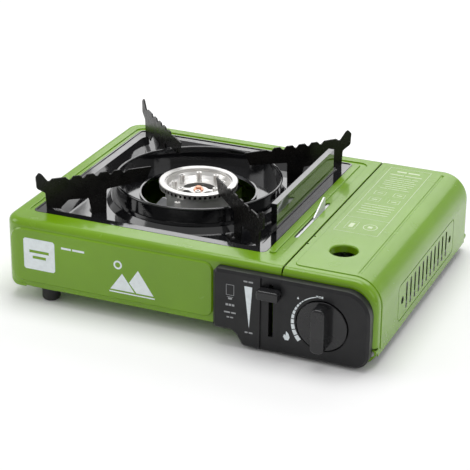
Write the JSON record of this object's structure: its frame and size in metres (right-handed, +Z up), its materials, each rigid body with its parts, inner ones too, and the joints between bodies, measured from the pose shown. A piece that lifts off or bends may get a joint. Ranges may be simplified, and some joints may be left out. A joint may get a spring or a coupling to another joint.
{
  "type": "camping stove",
  "caption": "Portable tabletop gas stove with a round burner, a lift-off pan support, a hinged lid over the cartridge bay, a rotary knob and a locking lever.",
  "frame": {"origin": "On the table, under the middle of the object's bounding box.", "axes": "+X to the cartridge side, -Y to the front with the knob, +Z up."},
  "size_m": [0.345, 0.284, 0.1087],
  "materials": {
    "green_paint": "gloss enamel paint",
    "black_enamel": "gloss black enamel",
    "zinc_steel": "zinc plated",
    "bright_steel": "bright galvanised",
    "copper": "turned",
    "steel_screws": "plated",
    "black_plastic": "fine texture",
    "rubber": "matt",
    "cast_aluminium": "as cast",
    "polished_steel": "polished",
    "brass": "turned",
    "white_ceramic": "glazed ceramic"
  },
  "bodies": {
    "stove_base": {"body_shell": "green_paint", "left_side_panel": "green_paint", "base_plate": "green_paint", "front_plate": "green_paint", "back_plate": "green_paint", "cartridge_pan": "zinc_steel", "partition_plate": "zinc_steel", "cartridge_rails": "zinc_steel", "lid_catch": "zinc_steel", "hinge_pins": "steel_screws", "foot_front_left": "rubber", "foot_back_left": "rubber", "foot_front_right": "rubber", "foot_back_right": "rubber", "foot_screws": "steel_screws", "base_screws": "steel_screws", "control_panel": "black_plastic", "panel_screws": "steel_screws", "burner_bracket": "zinc_steel", "burner_body": "cast_aluminium", "burner_top_ring": "polished_steel", "burner_bowl": "polished_steel", "flame_tubes": "polished_steel", "burner_screw": "copper", "mixing_tube": "cast_aluminium", "air_shutter": "zinc_steel", "gas_nozzle": "brass", "gas_pipe": "brass", "igniter_ceramic": "white_ceramic", "igniter_electrode": "polished_steel", "igniter_bracket": "bright_steel", "regulator_body": "cast_aluminium", "regulator_cap": "cast_aluminium", "regulator_screws": "steel_screws", "inlet_socket": "polished_steel", "inlet_seal": "rubber", "valve_body": "brass", "piezo_unit": "black_plastic", "heat_conductor": "zinc_steel"},
    "lid": {"cartridge_lid": "green_paint"},
    "pan_support": {"drip_tray": "black_enamel", "wind_ring": "black_enamel", "arm_front_left": "black_enamel", "arm_front_right": "black_enamel", "arm_back_left": "black_enamel", "arm_back_right": "black_enamel", "heat_shield": "black_enamel", "arm_rivets": "black_enamel"},
    "knob": {"knob": "black_plastic", "knob_insert": "brass", "valve_spindle": "brass"},
    "lever": {"lever_handle": "black_plastic", "lever_carriage": "black_plastic"},
    "slider": {"cartridge_slider": "zinc_steel", "interlock_link": "bright_steel"}
  },
  "joints": [
    {"name": "lid_hinge", "type": "hinge", "parent": "stove_base", "child": "lid", "pos_m": [0.1678, 0, 0.0135], "axis": [0, 1, 0], "range_deg": [0, 90]},
    {"name": "knob_turn", "type": "hinge", "parent": "stove_base", "child": "knob", "pos_m": [0.1282, -0.129, 0.0353], "axis": [0, -1, 0], "range_deg": [0, 130]},
    {"name": "lever_slide", "type": "slide", "parent": "stove_base", "child": "lever", "axis": [0, 0, -1], "range_m": [0, 0.034]},
    {"name": "cartridge_slide", "type": "slide", "parent": "stove_base", "child": "slider", "axis": [0, -1, 0], "range_m": [0, 0.01]},
    {"name": "pan_support_lift", "type": "slide", "parent": "stove_base", "child": "pan_support", "axis": [0, 0, 1], "range_m": [0, 0.06]}
  ],
  "couplings": [
    {"joint": "cartridge_slide", "follows": "lever_slide", "ratio": 0.2941}
  ]
}
